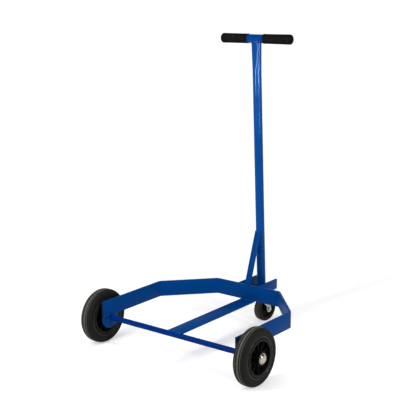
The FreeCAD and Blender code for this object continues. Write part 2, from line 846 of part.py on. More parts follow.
def axle_washers():
    bore = axle_radius + slip_gap
    inner = flat_washer(washer_diameter, bore, lug_outer, lug_outer + inner_washer_thickness)
    outer = flat_washer(washer_diameter, bore, cap_inner - outer_washer_thickness, cap_inner)
    pieces = handed("inner_washer", moved(inner, 0, axle_y, axle_z))
    pieces.update(handed("outer_washer", moved(outer, 0, axle_y, axle_z)))
    return pieces


def caster_wheel():
    """Pieces on the caster's own axle."""
    tube = ring(sleeve_diameter / 2, axle_bolt_diameter / 2 + slip_gap, -fork_inner, fork_inner)
    shapes = {
        "caster_tyre": caster_tyre(),
        "caster_wheel_centre": caster_centre(),
        "caster_axle_sleeve": tube,
        "caster_axle_bolt": axle_bolt(),
        "caster_axle_nut": axle_nut(),
    }
    return {name: moved(shape, 0, caster_y, caster_radius) for name, shape in shapes.items()}


def swivel_pieces():
    """All that turns with the caster's fork, at its rest turn."""
    pieces = caster_wheel()
    pieces["caster_fork"] = caster_fork()
    pieces["swivel_balls"] = swivel_balls()
    pieces["thrust_ring"] = thrust_ring()
    for shape in pieces.values():
        shape.rotate(point(0, swivel_y, 0), along_z, caster_turn_deg)
    return pieces


def assembly():
    pieces = {
        "strap_frame": strap_frame(),
        "axle": axle(),
        "centre_bar": centre_bar(),
        "rear_channel": rear_channel(),
        "handle_pole": handle_pole(),
        "pole_brace": pole_brace(),
        "t_bar": t_bar(),
        "caster_plate": caster_plate(),
        "kingpin": kingpin(),
    }
    pieces.update(handed("axle_lug", axle_lug()))
    pieces.update(handed("hub_cap", hub_cap()))
    pieces.update(handed("grip", grip()))
    pieces.update(main_wheel(-1))
    pieces.update(main_wheel(1))
    pieces.update(axle_washers())
    pieces.update(swivel_pieces())
    pieces.update(plate_fasteners())
    return pieces


os.makedirs("parts", exist_ok=True)
for node, shape in assembly().items():
    shape.exportStep("parts/" + node + ".step")
    state = "valid" if shape.isValid() else "INVALID"
    print(node, len(shape.Solids), "solid(s)", round(shape.Volume), "mm3", state)
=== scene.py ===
# %% [markdown]
# # Dressing a drum trolley
# A drum trolley is a welded steel cradle on two rubber-tyred wheels and a swivel caster, pulled by a
# tall handle. Its sizes are settled in CAD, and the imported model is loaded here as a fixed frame.
# This lesson gives each part the finish of the real one, and adds what the solids leave out: rounded
# edges, moulded tyres, weld beads and the studio.

# %% Load the frame
import json
import math

import bpy
from mathutils import Matrix, Vector

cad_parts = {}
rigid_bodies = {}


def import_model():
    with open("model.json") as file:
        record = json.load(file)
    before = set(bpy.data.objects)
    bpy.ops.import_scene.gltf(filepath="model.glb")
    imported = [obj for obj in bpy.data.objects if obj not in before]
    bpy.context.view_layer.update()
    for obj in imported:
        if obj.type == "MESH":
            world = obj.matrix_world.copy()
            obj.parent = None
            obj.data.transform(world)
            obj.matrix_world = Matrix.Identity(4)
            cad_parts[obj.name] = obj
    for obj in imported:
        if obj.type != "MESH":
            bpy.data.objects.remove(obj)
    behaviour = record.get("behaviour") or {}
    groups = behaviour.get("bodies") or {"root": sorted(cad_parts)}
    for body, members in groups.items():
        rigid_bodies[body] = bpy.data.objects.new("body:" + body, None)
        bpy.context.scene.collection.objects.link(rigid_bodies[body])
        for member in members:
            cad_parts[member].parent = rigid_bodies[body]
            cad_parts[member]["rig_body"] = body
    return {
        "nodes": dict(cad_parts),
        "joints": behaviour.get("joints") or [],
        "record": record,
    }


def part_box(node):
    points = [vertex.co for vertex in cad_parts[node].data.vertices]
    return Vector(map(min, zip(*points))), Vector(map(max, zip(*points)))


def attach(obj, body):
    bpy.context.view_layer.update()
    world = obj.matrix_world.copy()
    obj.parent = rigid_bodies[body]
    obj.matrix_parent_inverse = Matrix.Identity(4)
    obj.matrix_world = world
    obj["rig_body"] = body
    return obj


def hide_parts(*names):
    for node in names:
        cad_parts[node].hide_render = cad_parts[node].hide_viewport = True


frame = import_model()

scene = bpy.context.scene
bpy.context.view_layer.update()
slot_of = {row["node"]: row["material_slot"] for row in frame["record"]["subparts"]}

# %% [markdown]
# ## Millimetres, colours and nodes
# Blender works in metres and in linear light, while a maker thinks in millimetres and picks colours
# as sRGB hex values. One value and one small function turn one into the other. A second function adds
# a shader node with its settings and links, so that a finish reads as a list of what it is made of.

# %% Small helpers
MM = 0.001


def linear(hex_colour):
    """sRGB hex colour as linear red, green, blue and alpha."""
    channels = [int(hex_colour[i:i + 2], 16) / 255 for i in (1, 3, 5)]
    return [c / 12.92 if c <= 0.04045 else ((c + 0.055) / 1.055) ** 2.4 for c in channels] + [1.0]


def add_node(tree, kind, settings=None, inputs=None):
    """New shader node. An input is a value, or the output of another node."""
    node = tree.nodes.new(kind)
    for name, value in (settings or {}).items():
        setattr(node, name, value)
    for name, value in (inputs or {}).items():
        if isinstance(value, bpy.types.NodeSocket):
            tree.links.new(value, node.inputs[name])
        else:
            node.inputs[name].default_value = value
    return node


print("mid grey in linear light:", round(linear("#808080")[0], 3))

# %% [markdown]
# ## The camera
# The photograph was taken from the right of the open front, a little above the cradle, with a long
# lens. The angles and the distance were found by fitting the CAD model's corners to the photograph.
# The camera's three axes are worked out from those angles, because that also gives its slight roll.

# %% Camera
view_azimuth = math.radians(38.481)
view_height = math.radians(12.416)
view_roll = math.radians(-0.593)
eye = Vector((2.04652, -2.67203, 1.27769))
sensor_mm = 36
lens_mm = 86.4

back = Vector((math.sin(view_azimuth) * math.cos(view_height),
               -math.cos(view_azimuth) * math.cos(view_height),
               math.sin(view_height)))
level_right = Vector((math.cos(view_azimuth), math.sin(view_azimuth), 0))
level_up = back.cross(level_right)
right = level_right * math.cos(view_roll) + level_up * math.sin(view_roll)
up = level_up * math.cos(view_roll) - level_right * math.sin(view_roll)

bpy.ops.object.select_all(action="DESELECT")
bpy.ops.object.camera_add()
camera = bpy.context.object
camera.data.sensor_width = sensor_mm
camera.data.lens = lens_mm
camera.matrix_world = Matrix.Translation(eye) @ Matrix((right, up, back)).transposed().to_4x4()
scene.camera = camera
scene.view_settings.view_transform = "Standard"
print("camera stands", round(eye.length, 2), "m away")

# %% [markdown]
# ## The white room
# The photograph shows the trolley on pure white. The camera sees a white world, and so does a gloss or
# a clear material, up to where the white wall ends and a dim ceiling begins. Everything else gets a
# plainer light from it, so that the background doesn't flood the paint. The wall's end is given as the
# sine of its height above the horizon.

# %% World
room_light = 0.32
ceiling_light = 0.14
wall_end, ceiling_start = 0.15, 0.45


def ray_shares(tree):
    """1 for a ray from the camera, and 1 for a ray from a gloss or a clear material."""
    path = add_node(tree, "ShaderNodeLightPath").outputs
    shiny = add_node(tree, "ShaderNodeMath", {"operation": "MAXIMUM"},
                     {0: path["Is Glossy Ray"], 1: path["Is Transmission Ray"]}).outputs[0]
    return path["Is Camera Ray"], shiny


world = bpy.data.worlds.new("white_room")
world.use_nodes = True
scene.world = world
tree = world.node_tree
tree.nodes.clear()
camera_ray, shiny_ray = ray_shares(tree)
way = add_node(tree, "ShaderNodeTexCoord").outputs["Object"]
steepness = add_node(tree, "ShaderNodeSeparateXYZ", None, {0: way}).outputs["Z"]
wall_light = add_node(tree, "ShaderNodeMapRange", {"interpolation_type": "SMOOTHSTEP"},
                      {"Value": steepness, "From Min": wall_end, "From Max": ceiling_start,
                       "To Min": 1.0, "To Max": ceiling_light})
in_gloss = add_node(tree, "ShaderNodeMapRange", None,
                    {"Value": shiny_ray, "To Min": room_light, "To Max": wall_light.outputs[0]})
strength = add_node(tree, "ShaderNodeMapRange", None,
                    {"Value": camera_ray, "To Min": in_gloss.outputs[0], "To Max": 1.0})
room = add_node(tree, "ShaderNodeBackground", None,
                {"Color": linear("#FFFFFF"), "Strength": strength.outputs[0]})
add_node(tree, "ShaderNodeOutputWorld", None, {"Surface": room.outputs[0]})
print("world:", world.name, "with", len(tree.nodes), "nodes")

# %% [markdown]
# ## The floor
# A sheet of matt white vinyl lies under the trolley and takes its soft shadow. Like the world, it is
# lifted towards white where it is seen directly or in a gloss: a little near the wheels, where the shadow
# falls, and more further out, between two distances in metres from the trolley's middle. The lift adds
# nothing to the other light that falls on the trolley.

# %% Floor
near_glow, far_glow = 0.45, 0.78
near_reach, far_reach = 0.5, 2.5
floor_width = 300

bpy.ops.object.select_all(action="DESELECT")
bpy.ops.mesh.primitive_plane_add(size=floor_width)
floor = bpy.context.object
floor.name = "studio_floor"
floor_finish = bpy.data.materials.new("matt_white_vinyl")
floor_finish.use_nodes = True
tree = floor_finish.node_tree
tree.nodes.clear()
camera_ray, shiny_ray = ray_shares(tree)
seen = add_node(tree, "ShaderNodeMath", {"operation": "MAXIMUM"},
                {0: camera_ray, 1: shiny_ray}).outputs[0]
matt = add_node(tree, "ShaderNodeBsdfDiffuse", None, {"Color": linear("#E6E6E6")})
spot = add_node(tree, "ShaderNodeTexCoord").outputs["Object"]
away = add_node(tree, "ShaderNodeVectorMath", {"operation": "LENGTH"}, {0: spot}).outputs["Value"]
fade = add_node(tree, "ShaderNodeMapRange", {"interpolation_type": "SMOOTHSTEP"},
                {"Value": away, "From Min": near_reach, "From Max": far_reach,
                 "To Min": near_glow, "To Max": far_glow})
glow = add_node(tree, "ShaderNodeMath", {"operation": "MULTIPLY"}, {0: seen, 1: fade.outputs[0]})
lit = add_node(tree, "ShaderNodeEmission", None,
               {"Color": linear("#FFFFFF"), "Strength": glow.outputs[0]})
both = add_node(tree, "ShaderNodeAddShader", None, {0: matt.outputs[0], 1: lit.outputs[0]})
add_node(tree, "ShaderNodeOutputMaterial", None, {"Surface": both.outputs[0]})
floor.data.materials.append(floor_finish)
print("floor", floor.dimensions[0], "m wide")

# %% [markdown]
# ## Soft boxes
# Studio lamps are soft panels. One large box hangs overhead and lights the tops. Two tall strips stand
# in front and to the right, and draw the two pale streaks that run down the handle. A second, brighter
# lamp at each place makes the streaks stronger. Only a gloss sees it, and it has a grid, which keeps its
# beam on the handle. Blender makes a beam brighter as it narrows, and beam_share takes that back. The
# handle's pressed top mirrors a lower spot than the round tube does, so a third lamp stands there. It is
# aimed just above the cross tube, so that its beam fades out down the handle.

# %% Lamp helpers


def soft_box(name, place, target, width, height, brightness):
    """Rectangular lamp at a place, aimed at a target; brightness 1 looks as bright as white paper."""
    bpy.ops.object.select_all(action="DESELECT")
    bpy.ops.object.light_add(type="AREA", location=place)
    lamp = bpy.context.object
    lamp.name = name
    lamp.data.shape = "RECTANGLE"
    lamp.data.size = width
    lamp.data.size_y = height
    lamp.data.energy = brightness * math.pi * width * height
    lamp.rotation_euler = (Vector(target) - Vector(place)).to_track_quat("-Z", "Y").to_euler()
    return lamp


def beam_share(beam_deg):
    """Share of a lamp's power that leaves a narrow beam as bright as an open lamp."""
    half = math.radians(beam_deg / 2)
    return 1 - half / math.tan(half)


def gridded(lamp, beam_deg):
    """Lamp for glosses alone, with a narrow beam."""
    lamp.data.spread = math.radians(beam_deg)
    lamp.data.energy *= beam_share(beam_deg)
    lamp.visible_diffuse = False


print("a beam of 24 degrees takes", round(beam_share(24), 4), "of the power")

# %% Lamps


def level_box(name, stand, level, width, height, brightness):
    """Soft box at a level on a stand, aimed at the handle at the same level."""
    return soft_box(name, (*stand, level), (*handle_spot, level), width, height, brightness)


front_stand, right_stand, handle_spot = (-0.28, -1.42), (1.72, -0.26), (0, 0.26)
handle_beam, top_beam = 24, 14
t_low, t_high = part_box("t_bar")
bar_middle = (t_low + t_high) / 2
aim_lift = 0.06
above_bar = bar_middle + Vector((0, 0, aim_lift))

overhead, cradle = (-0.2, -0.6, 2.6), (0, 0, 0.3)
front_low, right_low = (*front_stand, 0.82), (*right_stand, 0.76)
soft_box("overhead_box", overhead, cradle, width=1.6, height=1.6, brightness=2.5)
level_box("front_strip", front_stand, level=1.08, width=0.14, height=1.12, brightness=32)
level_box("right_strip", right_stand, level=1.05, width=0.13, height=1.26, brightness=32)
streaks = [
    level_box("front_streak", front_stand, level=1.07, width=0.38, height=0.56, brightness=320),
    level_box("right_streak", right_stand, level=0.88, width=0.40, height=0.92, brightness=440),
]
top_streaks = [
    soft_box("front_top_streak", front_low, above_bar, width=0.38, height=0.20, brightness=1500),
    soft_box("right_top_streak", right_low, above_bar, width=0.40, height=0.24, brightness=330),
]
for lamp in streaks:
    gridded(lamp, handle_beam)
for lamp in top_streaks:
    gridded(lamp, top_beam)

# %% [markdown]
# ## Finishes
# Each finish starts from the piece's own object coordinates, which are the trolley's own in metres. A
# pattern's scale is how many of its marks fit in a metre, so it is worked out from the size of one
# mark in millimetres. A noise texture keeps mostly between 0.3 and 0.7, so a roughness that follows it
# is stretched over that span.

# %% Start of a finish


def marks_per_metre(size_mm):
    return 1 / (size_mm * MM)


def start_finish(name):
    """New finish: its material, its node tree and the place on the trolley."""
    material = bpy.data.materials.new(name)
    material.use_nodes = True
    material.node_tree.nodes.clear()
    place = add_node(material.node_tree, "ShaderNodeTexCoord").outputs["Object"]
    return material, material.node_tree, place


finishes = {}
noise_span = {"From Min": 0.3, "From Max": 0.7}
print("a 2 mm mark repeats", round(marks_per_metre(2)), "times in a metre")

# %% [markdown]
# ### Blue powder coat
# The frame is welded bare, then dusted with blue polyester powder and baked. The coat flows a little,
# which gives a satin gloss with a faint orange peel and slightly uneven colour where it lies thicker.
# Drawn tube takes it smoother than hot-rolled bar, whose scale shows through. The handle's tone is a
# little lighter, a painted highlight, and the axle's and the cross tube's tones are a little darker,
# painted shade. On a weld the coat is smooth and glossy, and each ripple glints. The strap's two sawn
# front ends are coloured a dark slate. Real orange peel repeats at about 2 mm. It is drawn at 9 mm so
# that it shows at this distance.

# %% Powder coat recipe
patch_mm, peel_mm, peel_depth_mm, sawn_mm = 70, 9, 0.05, 1.2
sawn_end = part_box("strap_frame")[0].y
# Dark slate tone of the strap's two front end faces.
end_face_slate = "#172230"
gloss_tint = "#96CAFF"
roughness_drop = 0.05


def powder_coat(name, tones, roughness, gloss_level, peel_strength):
    coat, tree, place = start_finish(name)
    thickness = add_node(tree, "ShaderNodeTexNoise", None,
                         {"Vector": place, "Scale": marks_per_metre(patch_mm), "Detail": 3.0}).outputs[0]
    blue = add_node(tree, "ShaderNodeMix", {"data_type": "RGBA"},
                    {0: thickness, 6: linear(tones[0]), 7: linear(tones[1])}).outputs[2]
    forward = add_node(tree, "ShaderNodeSeparateXYZ", None, {0: place}).outputs["Y"]
    # The strap's front end faces turn to the dark slate over their first 1.2 mm.
    end_face_share = add_node(tree, "ShaderNodeMapRange", None,
                    {"Value": forward, "From Min": sawn_end, "From Max": sawn_end + sawn_mm * MM,
                     "To Min": 1.0, "To Max": 0.0}).outputs[0]
    skin = add_node(tree, "ShaderNodeMix", {"data_type": "RGBA"},
                    {0: end_face_share, 6: blue, 7: linear(end_face_slate)}).outputs[2]
    satin = add_node(tree, "ShaderNodeMapRange", None,
                     {"Value": thickness, **noise_span,
                      "To Min": roughness - roughness_drop, "To Max": roughness}).outputs[0]
    peel = add_node(tree, "ShaderNodeTexNoise", None,
                    {"Vector": place, "Scale": marks_per_metre(peel_mm), "Detail": 2.0}).outputs[0]
    bump = add_node(tree, "ShaderNodeBump", None,
                    {"Height": peel, "Distance": peel_depth_mm * MM, "Strength": peel_strength}).outputs[0]
    shader = add_node(tree, "ShaderNodeBsdfPrincipled", None,
                      {"Base Color": skin, "Roughness": satin, "Normal": bump,
                       "Specular IOR Level": gloss_level, "Specular Tint": linear(gloss_tint)})
    add_node(tree, "ShaderNodeOutputMaterial", None, {"Surface": shader.outputs[0]})
    return coat


print("sawn ends lie at y", round(sawn_end / MM, 1), "mm")

# %% Powder coats
frame_blue = ("#003876", "#004085")
rolled = {"roughness": 0.40, "peel_strength": 0.3}
drawn = {"roughness": 0.10, "peel_strength": 0.03, "gloss_level": 0.13}
bar_coat = powder_coat("powder_coat_on_rolled_bar", frame_blue, gloss_level=0.06, **rolled)
# The handle's lighter tone is a painted highlight. The cross tube's and the axle's darker tones are painted
# shade.
coat_with_painted_light = {
    "handle_pole": powder_coat("powder_coat_on_drawn_tube_painted_light", ("#003E84", "#004694"), **drawn),
    "t_bar": powder_coat("powder_coat_on_cross_tube_painted_shade", ("#00367E", "#003C88"), **drawn),
    "axle": powder_coat("powder_coat_on_round_bar_painted_shade", ("#002A6E", "#002E78"), gloss_level=0.05, **rolled),
}
bead_coat = powder_coat("powder_coat_on_weld", frame_blue, roughness=0.18, gloss_level=0.5,
                        peel_strength=0.3)
finishes["blue_paint"] = bar_coat
print("finishes:", bar_coat.name, bead_coat.name, [coat.name for coat in coat_with_painted_light.values()])

# %% [markdown]
# ### Wheels
# Cheap solid tyres are compression-moulded black rubber, matt and finely grained where the mould was
# sand-blasted, on a centre of black polypropylene. The tread is painted greyer than the tyre's side and
# the rim's flange paler than its ribs: both are painted highlights, where light falls on what stands out
# furthest. How far a spot lies from the axle tells one from the other. A Mapping node puts the middle of
# the wheel at zero and turns its axle to X, and the spot's distance is then its length across X.

# %% Wheel finish recipe
joint_at = {row["name"]: (Vector(row["pos_m"]), Vector(row["axis"])) for row in frame["joints"]}
bloom_mm, mould_grain_mm, mould_grain_depth_mm = 18, 2.5, 0.15


def wheel_finish(name, wheel_joint, tones, highlight_tone, highlight_mm, roughness, gloss_level):
    """Moulded finish that turns to a lighter tone, a painted highlight, between two distances from the axle.
    """
    material, tree, place = start_finish(name)
    middle, axle = joint_at[wheel_joint]
    turn = math.atan2(axle.y, axle.x)
    wheel = add_node(tree, "ShaderNodeMapping", {"vector_type": "TEXTURE"},
                     {"Vector": place, "Location": middle, "Rotation": (0, 0, turn)}).outputs[0]
    spoke = add_node(tree, "ShaderNodeVectorMath", {"operation": "MULTIPLY"},
                     {0: wheel, 1: (0, 1, 1)}).outputs[0]
    out = add_node(tree, "ShaderNodeVectorMath", {"operation": "LENGTH"}, {0: spoke}).outputs["Value"]
    # Painted highlight: the tone lightens between the two distances from the axle.
    highlight_share = add_node(tree, "ShaderNodeMapRange", None,
                     {"Value": out, "From Min": highlight_mm[0] * MM, "From Max": highlight_mm[1] * MM}).outputs[0]
    bloom = add_node(tree, "ShaderNodeTexNoise", None,
                     {"Vector": place, "Scale": marks_per_metre(bloom_mm), "Detail": 5.0}).outputs[0]
    black = add_node(tree, "ShaderNodeMix", {"data_type": "RGBA"},
                     {0: bloom, 6: linear(tones[0]), 7: linear(tones[1])}).outputs[2]
    tone_with_highlight = add_node(tree, "ShaderNodeMix", {"data_type": "RGBA"},
                    {0: highlight_share, 6: black, 7: linear(highlight_tone)}).outputs[2]
    matt = add_node(tree, "ShaderNodeMapRange", None,
                    {"Value": bloom, **noise_span, "To Min": roughness[0], "To Max": roughness[1]}).outputs[0]
    grain = add_node(tree, "ShaderNodeTexNoise", None,
                     {"Vector": place, "Scale": marks_per_metre(mould_grain_mm), "Detail": 3.0}).outputs[0]
    bump = add_node(tree, "ShaderNodeBump", None,
                    {"Height": grain, "Distance": mould_grain_depth_mm * MM, "Strength": 0.4}).outputs[0]
    shader = add_node(tree, "ShaderNodeBsdfPrincipled", None,
                      {"Base Color": tone_with_highlight, "Roughness": matt, "Normal": bump,
                       "Specular IOR Level": gloss_level})
    add_node(tree, "ShaderNodeOutputMaterial", None, {"Surface": shader.outputs[0]})
    return material


print("joints:", sorted(joint_at))

# %% Wheel finishes
blasted = {"roughness": (0.55, 0.72), "gloss_level": 0.05}
satin_moulded = {"roughness": (0.36, 0.50), "gloss_level": 0.05}
polished = {"roughness": (0.22, 0.30), "gloss_level": 0.5}
# The lighter tread and flange tones below are painted highlights.
tyre_black, tread_highlight_grey, tread_highlight_mm = ("#171715", "#232320"), "#585852", (98.8, 99.9)
plastic_black = ("#070706", "#10100F")
finishes["tyre_rubber"] = wheel_finish("moulded_solid_rubber", "right_wheel_spin", tyre_black,
                                       tread_highlight_grey, tread_highlight_mm, **blasted)
finishes["rim_plastic"] = wheel_finish("moulded_polypropylene", "right_wheel_spin", plastic_black,
                                       "#191917", (56.0, 57.5), **satin_moulded)
finishes["caster_rubber"] = wheel_finish("moulded_caster_rubber", "caster_wheel_spin",
                                         ("#20201C", "#343430"), "#4C4C43", (48.6, 49.8), **blasted)
finishes["caster_plastic"] = wheel_finish("moulded_caster_centre", "caster_wheel_spin", plastic_black,
                                          "#1A1A18", (34.0, 35.5), **satin_moulded)
polished_rubber = wheel_finish("mould_polished_rubber", "right_wheel_spin", tyre_black,
                               tread_highlight_grey, tread_highlight_mm, **polished)
print("finishes so far:", [finish.name for finish in finishes.values()], polished_rubber.name)

# %% [markdown]
# ### Grips
# The grips are soft black PVC, dipped or moulded with a pebbled feel. The pebbles are rounded cells,
# about 3 mm across, and stand up by less than half a millimetre.

# %% Grip skin
wear_mm, pebble_mm, pebble_height_mm = 12, 3, 0.4
grip_skin, tree, place = start_finish("soft_pvc_grip")
worn = add_node(tree, "ShaderNodeTexNoise", None,
                {"Vector": place, "Scale": marks_per_metre(wear_mm)}).outputs[0]
skin = add_node(tree, "ShaderNodeMix", {"data_type": "RGBA"},
                {0: worn, 6: linear("#100F0F"), 7: linear("#1B1A1A")}).outputs[2]
sheen = add_node(tree, "ShaderNodeMapRange", None,
                 {"Value": worn, **noise_span, "To Min": 0.45, "To Max": 0.6}).outputs[0]
pebble = add_node(tree, "ShaderNodeTexVoronoi", {"feature": "SMOOTH_F1"},
                  {"Vector": place, "Scale": marks_per_metre(pebble_mm), "Smoothness": 0.4}).outputs
bump = add_node(tree, "ShaderNodeBump", None,
                {"Height": pebble["Distance"], "Distance": pebble_height_mm * MM, "Strength": 0.5}).outputs[0]
shader = add_node(tree, "ShaderNodeBsdfPrincipled", None,
                  {"Base Color": skin, "Roughness": sheen, "Normal": bump, "Specular IOR Level": 0.003})
add_node(tree, "ShaderNodeOutputMaterial", None, {"Surface": shader.outputs[0]})
finishes["grip_rubber"] = grip_skin
print("finish:", grip_skin.name)

# %% [markdown]
# ### Nylon and metals
# The other finishes share one recipe, a tone and a roughness that wander in clouds over a fine grain,
# and differ in its numbers. The bearing cages are natural nylon, a cloudy cream. The caster's fork,
# plate and fasteners are zinc-plated, a soft grey with a yellow tinge and cloudy patches from the
# bath. The hub caps are thin bright-plated sheet, and rollers and balls are ground bearing steel.

# %% Clouded finish recipe


def clouded_finish(name, tones, cloud_mm, roughness, grain_mm, grain_depth_mm, shader_values):
    material, tree, place = start_finish(name)
    cloud = add_node(tree, "ShaderNodeTexNoise", None,
                     {"Vector": place, "Scale": marks_per_metre(cloud_mm), "Detail": 4.0}).outputs[0]
    tone = add_node(tree, "ShaderNodeMix", {"data_type": "RGBA"},
                    {0: cloud, 6: linear(tones[0]), 7: linear(tones[1])}).outputs[2]
    gloss = add_node(tree, "ShaderNodeMapRange", None,
                     {"Value": cloud, **noise_span,
                      "To Min": roughness[0], "To Max": roughness[1]}).outputs[0]
    grain = add_node(tree, "ShaderNodeTexNoise", None,
                     {"Vector": place, "Scale": marks_per_metre(grain_mm), "Detail": 3.0}).outputs[0]
    bump = add_node(tree, "ShaderNodeBump", None,
                    {"Height": grain, "Distance": grain_depth_mm * MM, "Strength": 0.3}).outputs[0]
    shader = add_node(tree, "ShaderNodeBsdfPrincipled", None,
                      {"Base Color": tone, "Roughness": gloss, "Normal": bump, **shader_values})
    add_node(tree, "ShaderNodeOutputMaterial", None, {"Surface": shader.outputs[0]})
    return material


print("slots with a finish so far:", sorted(finishes))

# %% Clouded finishes
metal = {"Metallic": 1.0}
finishes["cage_nylon"] = clouded_finish(
    "natural_nylon", ("#C9C2AC", "#E2DCCA"), cloud_mm=5, roughness=(0.40, 0.50),
    grain_mm=2, grain_depth_mm=0.03, shader_values={"Specular IOR Level": 0.4})
finishes["zinc_steel"] = clouded_finish(
    "zinc_plated_steel", ("#80847A", "#B6BAAE"), cloud_mm=7, roughness=(0.30, 0.46),
    grain_mm=3, grain_depth_mm=0.04, shader_values=metal)
finishes["cap_zinc"] = clouded_finish(
    "bright_plated_sheet", ("#968F7C", "#BDB7A4"), cloud_mm=5, roughness=(0.06, 0.12),
    grain_mm=4, grain_depth_mm=0.01, shader_values=metal)
finishes["bearing_steel"] = clouded_finish(
    "ground_bearing_steel", ("#77787A", "#9A9B9C"), cloud_mm=3, roughness=(0.20, 0.30),
    grain_mm=2, grain_depth_mm=0.01, shader_values=metal)
for name, node in frame["nodes"].items():
    node.data.materials.clear()
    node.data.materials.append(finishes[slot_of[name]])
print("finishes:", sorted({finish.name for finish in finishes.values()}))

# %% [markdown]
# ## Rounded edges
# No steel edge is knife-sharp: rolled bar has soft corners and powder coat rounds them further. Those
# edges catch the light in thin lines. A copy of each CAD node, apart from those turned further on, is
# merged from loose triangles to whole faces, and a Bevel modifier then rounds every edge sharper than 30
# degrees. The copy stands in for the node, which stays as it was. Widths are in millimetres. The tubes,
# the balls and what is hidden in the hubs have a width of 0, which leaves their edges alone.

# %% Rounding a copy
merge_mm = 0.002
flat_deg, sharp_deg, smooth_deg = 0.4, 30, 32


def join_frame(piece, body, slot, *nodes):
    """The piece moves with a body, takes a slot's finish and stands for CAD nodes."""
    piece.data.materials.clear()
    piece.data.materials.append(finishes[slot])
    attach(piece, body)
    if nodes:
        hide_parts(*nodes)


def rounded_copy(name, edge_mm):
    node = frame["nodes"][name]
    bpy.ops.object.select_all(action="DESELECT")
    piece = bpy.data.objects.new(name + "_rounded", node.data.copy())
    scene.collection.objects.link(piece)
    bpy.context.view_layer.objects.active = piece
    piece.select_set(True)
    if piece.data.has_custom_normals:
        bpy.ops.mesh.customdata_custom_splitnormals_clear()
    bpy.ops.object.mode_set(mode="EDIT")
    bpy.ops.mesh.select_all(action="SELECT")
    bpy.ops.mesh.remove_doubles(threshold=merge_mm * MM)
    bpy.ops.mesh.dissolve_limited(angle_limit=math.radians(flat_deg))
    bpy.ops.object.mode_set(mode="OBJECT")
    if edge_mm:
        bevel = piece.modifiers.new("rounding", "BEVEL")
        bevel.width = edge_mm * MM
        bevel.segments = 2
        bevel.limit_method = "ANGLE"
        bevel.angle_limit = math.radians(sharp_deg)
        bpy.ops.object.modifier_apply(modifier=bevel.name)
    bpy.ops.object.shade_smooth_by_angle(angle=math.radians(smooth_deg))
    join_frame(piece, node["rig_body"], slot_of[name], name)
    return piece


print("edges sharper than", sharp_deg, "degrees are rounded")

# %% Copies with rounded edges
edge_of = {
    "strap_frame": 1.0, "left_axle_lug": 0.8, "right_axle_lug": 0.8, "axle": 0.3, "centre_bar": 0.8,
    "rear_channel": 0.8, "handle_pole": 0.0, "pole_brace": 0.7, "t_bar": 0.0,
    "left_wheel_rim": 0.5, "right_wheel_rim": 0.5, "left_inner_washer": 0.3, "right_inner_washer": 0.3,
    "left_outer_washer": 0.3, "right_outer_washer": 0.3, "caster_plate": 0.4, "caster_fork": 0.4,
    "kingpin": 0.3, "thrust_ring": 0.3, "caster_wheel_centre": 0.5, "caster_axle_bolt": 0.3,
    "caster_axle_nut": 0.3, "plate_bolts": 0.3, "plate_nuts": 0.3, "plate_washers": 0.2,
    "left_roller_cage": 0.0, "right_roller_cage": 0.0, "left_bearing_rollers": 0.0,
    "right_bearing_rollers": 0.0, "swivel_balls": 0.0, "caster_axle_sleeve": 0.0,
}
rounded = {name: rounded_copy(name, edge) for name, edge in edge_of.items()}
# These coats carry painted light: a lighter tone on the handle, and darker tones on the cross tube and the
# axle.
for name, coat in coat_with_painted_light.items():
    rounded[name].data.materials[0] = coat
faces = sum(len(piece.data.polygons) for piece in rounded.values())
print("rounded copies:", len(rounded), "faces:", faces)

# %% [markdown]
# ## Turned pieces
# Tyres, caps and grips are all turned forms. Each is drawn as half a section, point by point, as one
# would extrude a line of vertices by hand, and then spun round its axle. Points are given in
# millimetres: along the axle from a middle point, and out from the axle.

# %% Spin a section
seam_mm, crease_deg = 0.005, 40


def arc(middle_x, middle_r, radius, start_deg, end_deg, steps):
    """Points on an arc; 0 degrees points along the axle, 90 degrees away from it."""
    turns = [math.radians(start_deg + (end_deg - start_deg) * i / steps) for i in range(steps + 1)]
    return [(middle_x + radius * math.cos(t), middle_r + radius * math.sin(t)) for t in turns]


def turned_piece(name, section, middle, axle, steps, closed=True):
    """Section of (along, out) points in mm, spun round an axle through a middle point."""
    out = Vector((0, 0, 1))
    spots = [middle + axle * (x * MM) + out * (r * MM) for x, r in section]
    if closed:
        spots.append(spots[0])
    bpy.ops.object.select_all(action="DESELECT")
    bpy.ops.mesh.primitive_plane_add(size=MM)
    piece = bpy.context.object
    piece.name = name
    bpy.ops.object.mode_set(mode="EDIT")
    bpy.ops.mesh.select_all(action="SELECT")
    bpy.ops.mesh.merge(type="CENTER")
    bpy.ops.transform.translate(value=spots[0])
    for here, there in zip(spots, spots[1:]):
        bpy.ops.mesh.extrude_vertices_move(TRANSFORM_OT_translate={"value": there - here})
    bpy.ops.mesh.select_all(action="SELECT")
    bpy.ops.mesh.spin(steps=steps, angle=2 * math.pi, center=middle, axis=axle)
    bpy.ops.mesh.select_all(action="SELECT")
    bpy.ops.mesh.remove_doubles(threshold=seam_mm * MM)
    bpy.ops.mesh.normals_make_consistent(inside=False)
    bpy.ops.object.mode_set(mode="OBJECT")
    bpy.ops.object.shade_smooth_by_angle(angle=math.radians(crease_deg))
    return piece


print("one arc step of 90 degrees ends at", [round(v, 2) for v in arc(0, 0, 1, 0, 90, 1)[-1]])

# %% [markdown]
# ### Main tyres
# The tyre is a solid ring, 200 mm across and 46 mm wide. Its side draws in a little towards the rim with
# a slight bow, the shoulder is well rounded, and two grooves run round the tread. The grooves' lips are
# rounded here, so that they catch the light as in the photograph. A thin half-round ring runs round each
# side, where the mould was polished. Its gloss differs from the tyre's, so it is a piece of its own.

# %% Tyre section


def box_mm(name):
    """Lower and upper corner of a CAD node's box, in millimetres."""
    return [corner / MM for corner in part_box(name)]


